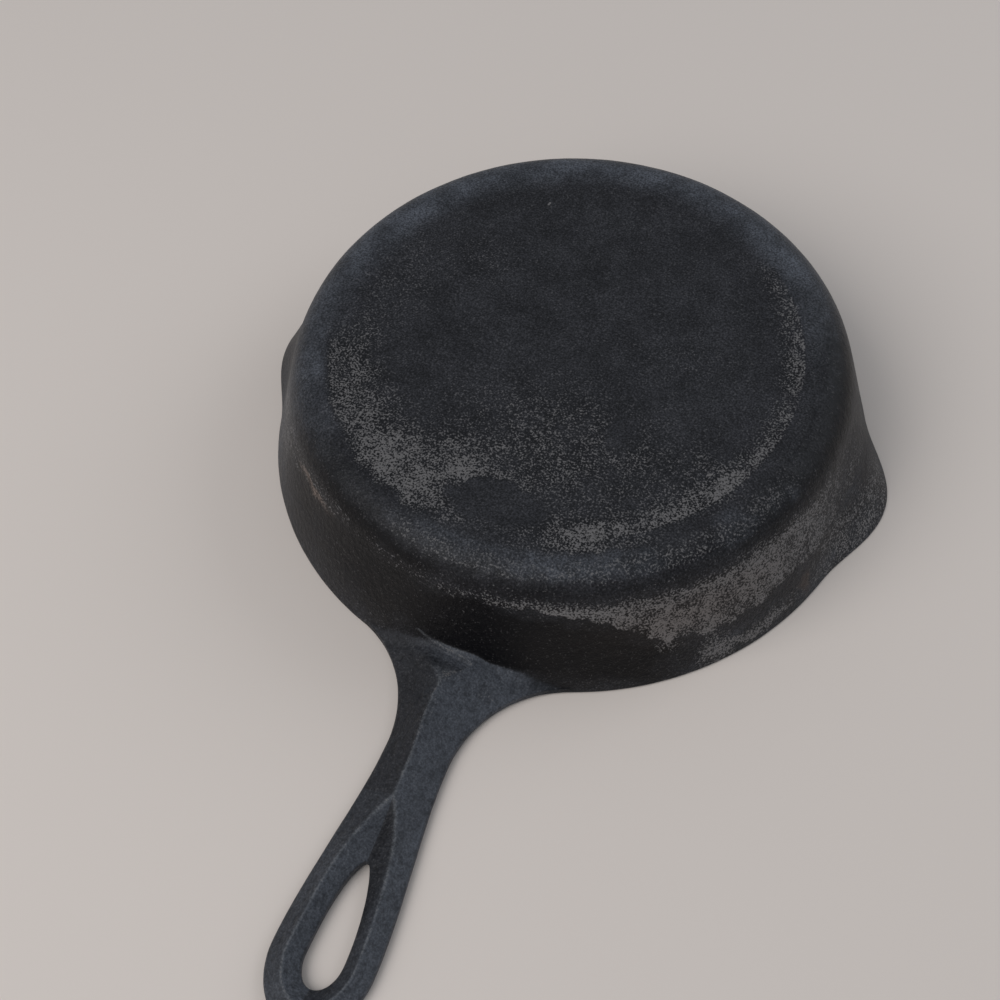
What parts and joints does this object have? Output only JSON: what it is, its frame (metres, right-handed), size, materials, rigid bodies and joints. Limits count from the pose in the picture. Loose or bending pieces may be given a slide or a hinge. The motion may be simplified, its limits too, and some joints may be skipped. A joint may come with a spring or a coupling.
{
  "type": "cast iron skillet",
  "caption": "Round cast iron skillet with a sloping wall, pouring lips and a ridged handle that ends in a hanging loop, lying upside down on its rim.",
  "frame": {"origin": "where the bowl's axis meets the plane of the rim; the pan lies upside down, so the rim is at z = 0 and stands on whatever is below it", "axes": "+Z along the bowl's axis, from the rim to the outside of the floor; the handle runs along -Y; +X is to the right when the handle points at the viewer and the pan is upside down"},
  "size_m": [0.2467, 0.3593, 0.052],
  "materials": {
    "worn_base_iron": "seasoned, matt, with grey wear where it stands on the burner",
    "seasoned_iron": "seasoned, satin black, with brown-grey bare patches on the wall",
    "cast_handle_iron": "rough as cast, blue-black, lighter along the ridges"
  },
  "bodies": {
    "root": {"base_disc": "worn_base_iron", "heel_ring": "seasoned_iron", "wall_front": "seasoned_iron", "wall_rear": "seasoned_iron", "pour_lip_right": "seasoned_iron", "pour_lip_left": "seasoned_iron", "handle_root": "cast_handle_iron", "handle_shank": "cast_handle_iron", "hanging_loop": "cast_handle_iron"}
  },
  "joints": []
}
